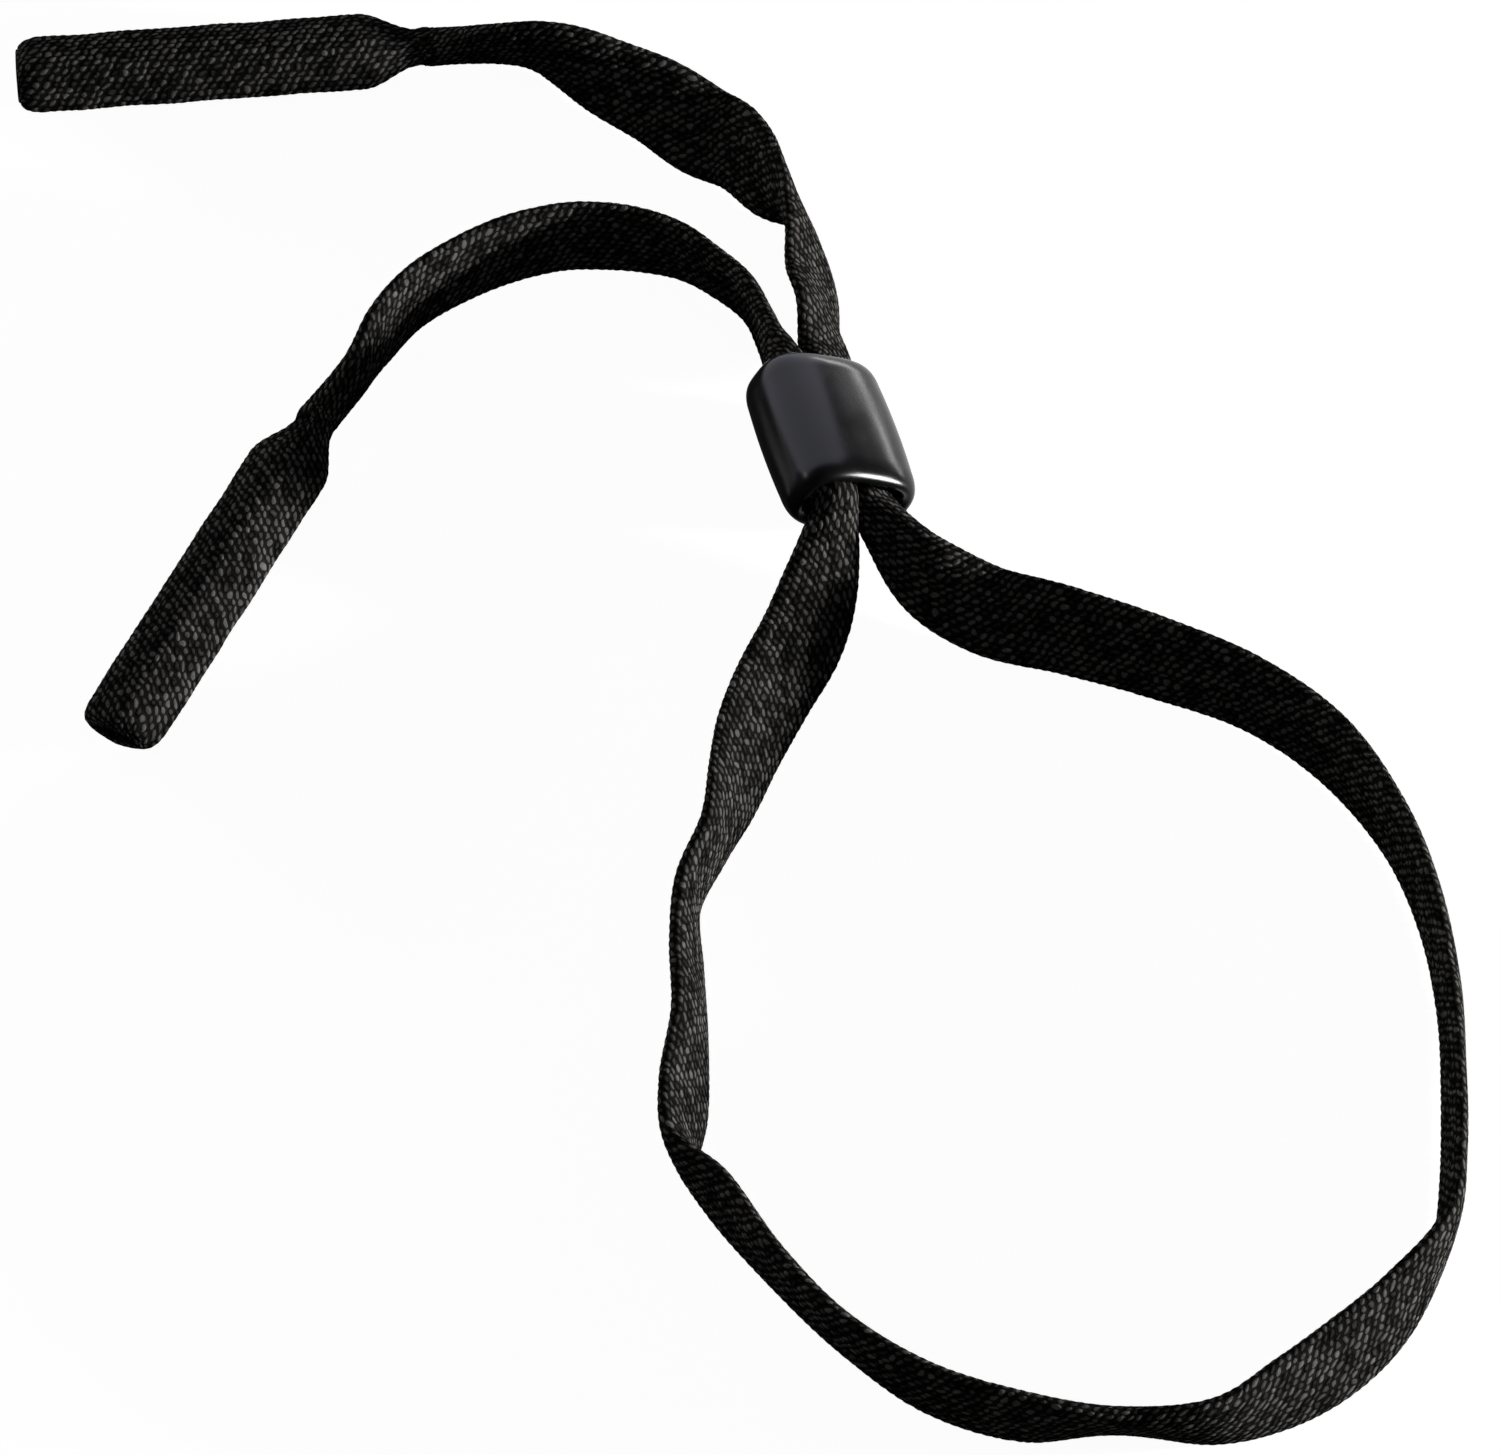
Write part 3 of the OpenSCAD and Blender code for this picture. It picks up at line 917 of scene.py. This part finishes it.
def slider_material():
    """Moulded black plastic, half gloss, with a faint unevenness in its polish."""
    material, n, surface = new_material("slider_plastic")
    where = n.add("ShaderNodeTexCoord").outputs["Object"]
    cloud = n.noise(where, SLIDER_CLOUD_SCALE, CLOUD_DETAIL)
    fine = n.noise(where, SLIDER_GRAIN_SCALE)
    surface.inputs["Specular IOR Level"].default_value = SLIDER_GLOSS
    n.join(n.spread(cloud, *NOISE_REACH, *SLIDER_ROUGHNESS), surface.inputs["Roughness"])
    n.join(n.blend(cloud, *SLIDER_COLOURS), surface.inputs["Base Color"])
    n.join(n.bump(fine, SLIDER_GRAIN_SHARE, SLIDER_GRAIN_DEPTH), surface.inputs["Normal"])
    return material


def grip_material():
    """Soft dark elastomer with a dry, finely mottled skin."""
    material, n, surface = new_material("grip_elastomer")
    where = n.add("ShaderNodeTexCoord").outputs["Object"]
    cloud = n.noise(where, GRIP_CLOUD_SCALE, CLOUD_DETAIL)
    fine = n.noise(where, GRIP_GRAIN_SCALE)
    surface.inputs["Specular IOR Level"].default_value = GRIP_GLOSS
    n.join(n.spread(fine, *NOISE_REACH, *GRIP_ROUGHNESS), surface.inputs["Roughness"])
    n.join(n.blend(cloud, *GRIP_COLOURS), surface.inputs["Base Color"])
    n.join(n.bump(fine, GRIP_GRAIN_SHARE, GRIP_GRAIN_DEPTH), surface.inputs["Normal"])
    return material


def floor_material():
    """White to the eye and in most reflections, with painted shadow in reflections on a strip along Y and in front of
    a slanted line, and a grey card for light and shadow.
    """
    material, n, surface = new_material("floor_card")
    surface.inputs["Base Color"].default_value = (FLOOR_GREY, FLOOR_GREY, FLOOR_GREY, 1)
    surface.inputs["Roughness"].default_value = 1.0
    surface.inputs["Specular IOR Level"].default_value = 0.0
    surface.inputs["Emission Color"].default_value = (1, 1, 1, 1)
    sides = n.add("ShaderNodeSeparateXYZ")
    n.join(n.add("ShaderNodeTexCoord").outputs["Object"], sides.inputs[0])
    # Painted shadow: glossy rays see the floor dark on a strip along Y and in front of a slanted line
    aside = n.spread(n.math("ABSOLUTE", sides.outputs["X"]), *FLOOR_SHADOW_STRIP, FLOOR_SHADOW_GLOW, 1.0)
    slanted = n.math("MULTIPLY_ADD", sides.outputs["X"], FLOOR_SHADOW_SLANT, sides.outputs["Y"])
    front_shadow_mask = n.spread(slanted, *FLOOR_SHADOW_FRONT, FLOOR_SHADOW_GLOW, 1.0)
    ray = n.add("ShaderNodeLightPath")
    glossy = n.math("MULTIPLY", ray.outputs["Is Glossy Ray"], n.math("MULTIPLY", aside, front_shadow_mask))
    seen = n.math("MAXIMUM", ray.outputs["Is Camera Ray"], glossy)
    seen = n.math("MAXIMUM", seen, ray.outputs["Is Transmission Ray"])
    n.join(n.math("MULTIPLY", seen, FLOOR_GLOW), surface.inputs["Emission Strength"])
    return material


def area_lamp(name, place, size, watts, aim):
    """A lamp with a flat, oblong face, turned to what it is aimed at."""
    data = bpy.data.lights.new(name, "AREA")
    data.shape = "RECTANGLE"
    data.size, data.size_y = size
    data.energy = watts
    lamp = bpy.data.objects.new(name, data)
    lamp.location = place
    lamp.rotation_euler = (aim - place).to_track_quat("-Z", "Y").to_euler()
    bpy.context.scene.collection.objects.link(lamp)
    return lamp


def finish_piece(piece, material, slot, node):
    """Gives a piece its material and slot, and puts it in place of its plain node."""
    piece.data.materials.append(material)
    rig.replaces(piece, node)
    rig.slot(piece, slot)


# Camera
camera = bpy.data.objects.new("camera", bpy.data.cameras.new("camera"))
camera.data.lens = LENS
camera.data.sensor_fit = "HORIZONTAL"
camera.data.sensor_width = SENSOR_WIDE
back = Vector((-math.sin(VIEW_LEFT) * math.cos(VIEW_ABOVE),
               -math.cos(VIEW_LEFT) * math.cos(VIEW_ABOVE), math.sin(VIEW_ABOVE)))
camera.location = VIEW_AIM + VIEW_RANGE * back
camera.rotation_euler = (math.pi / 2 - VIEW_ABOVE, 0, -VIEW_LEFT)
bpy.context.scene.collection.objects.link(camera)
bpy.context.scene.camera = camera
bpy.context.scene.view_settings.view_transform = "Standard"

# Materials
plait = plait_group()
strap_braid = braid_material("strap_braid", plait, STRAP_CREST, STRAP_GROOVE_SHADE)
cover_braid = braid_material("cover_braid", plait, COVER_CREST, COVER_GROOVE_SHADE)
plastic = slider_material()
elastomer = grip_material()

# Free stretches of the strap
slot_lean = math.degrees(SLIDER_ROLL)
free_stretches = [
    ("left_arm", [
        slot_station(-1, run_end - 2 * TUCK, slot_lean, RUN_SIZE),
        slot_station(-1, run_end, slot_lean, RUN_SIZE),
        *LEFT_ARM_STATIONS,
        neck_station("left", SLEEVE_LONG),
        neck_station("left", SLEEVE_LONG - TUCK),
    ], RUN_SIZE, NECK_SIZE),
    ("right_arm", [
        slot_station(1, run_end - 2 * TUCK, slot_lean - 90, TURNED_RUN_SIZE),
        slot_station(1, run_end, slot_lean - 90, TURNED_RUN_SIZE),
        *RIGHT_ARM_STATIONS,
        neck_station("right", SLEEVE_LONG),
        neck_station("right", SLEEVE_LONG - TUCK),
    ], TURNED_RUN_SIZE, NECK_SIZE),
    ("neck_loop", [
        slot_station(-1, 2 * TUCK - run_end, 90 - slot_lean, TURNED_RUN_SIZE),
        slot_station(-1, -run_end, 90 - slot_lean, TURNED_RUN_SIZE),
        *NECK_LOOP_STATIONS,
        slot_station(1, -run_end, slot_lean, RUN_SIZE),
        slot_station(1, 2 * TUCK - run_end, slot_lean, RUN_SIZE),
    ], TURNED_RUN_SIZE, RUN_SIZE),
]
for node, stations, start_size, finish_size in free_stretches:
    start, end = BENDS[node]
    stretch, middles, length = braid(node + "_braid", stations, start_size, finish_size)
    finish_piece(stretch, strap_braid, "braid", node)
    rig.blend(stretch, "slider", "strap", start=start, end=end)
    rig.cord(stretch, exit=middles[0], length=length, diameter=STRAP_WIDE, far_end="object",
            stiffness="limp", lay="loose", path=middles)

# Slider and the braid inside it
shell = slider_shell()
finish_piece(shell, plastic, "slider_plastic", "slider")
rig.ride(shell, "slider")
for node, side in (("left_run", -1), ("right_run", 1)):
    run = run_in_slot(node + "_braid", side)
    finish_piece(run, strap_braid, "braid", node)
    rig.ride(run, "slider")

# Sleeves and their grip tubes
for side in ("left", "right"):
    cover = sleeve_cover(side)
    finish_piece(cover, cover_braid, "sleeve_braid", side + "_sleeve")
    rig.ride(cover, "strap")
    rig.padded(cover, fill=SLEEVE_FILL)
    grip = grip_tube(side)
    finish_piece(grip, elastomer, "liner_elastomer", side + "_liner")
    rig.ride(grip, "strap")

# Floor and light
bm = bmesh.new()
bmesh.ops.create_circle(bm, cap_ends=True, segments=FLOOR_SIDES, radius=FLOOR_REACH)
floor_mesh = bpy.data.meshes.new("floor")
bm.to_mesh(floor_mesh)
bm.free()
floor = bpy.data.objects.new("floor", floor_mesh)
floor.data.materials.append(floor_material())
floor.location.z = -FLOOR_DROP
bpy.context.scene.collection.objects.link(floor)
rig.stage(floor)

key = area_lamp("key", KEY_AT, KEY_SIZE, KEY_WATTS, slot_mid)
fill = area_lamp("fill", FILL_AT, FILL_SIZE, FILL_WATTS, slot_mid)
for lamp in (key, fill):
    lamp.visible_glossy = False
panel = area_lamp("panel", PANEL_AT, PANEL_SIZE, PANEL_WATTS, PANEL_AIM)
bar = area_lamp("bar", BAR_AT, BAR_SIZE, BAR_WATTS, slot_mid)
box = area_lamp("box", BOX_AT, BOX_SIZE, BOX_WATTS, slot_mid)
glint = area_lamp("glint", GLINT_AT, GLINT_SIZE, GLINT_WATTS, slot_mid)
panel.data.color = PANEL_TINT
for lamp in (panel, bar, box, glint):
    lamp.visible_diffuse = False
world = bpy.data.worlds.new("room")
world.use_nodes = True
room = world.node_tree.nodes["Background"]
room.inputs["Color"].default_value = (ROOM_LIGHT, ROOM_LIGHT, ROOM_LIGHT, 1)
bpy.context.scene.world = world

bpy.context.view_layer.update()
visual_box = [list(corner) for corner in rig.bounds()]
with open("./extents.json", "w") as file:
    json.dump({"cad": cad_box, "visual": visual_box}, file)
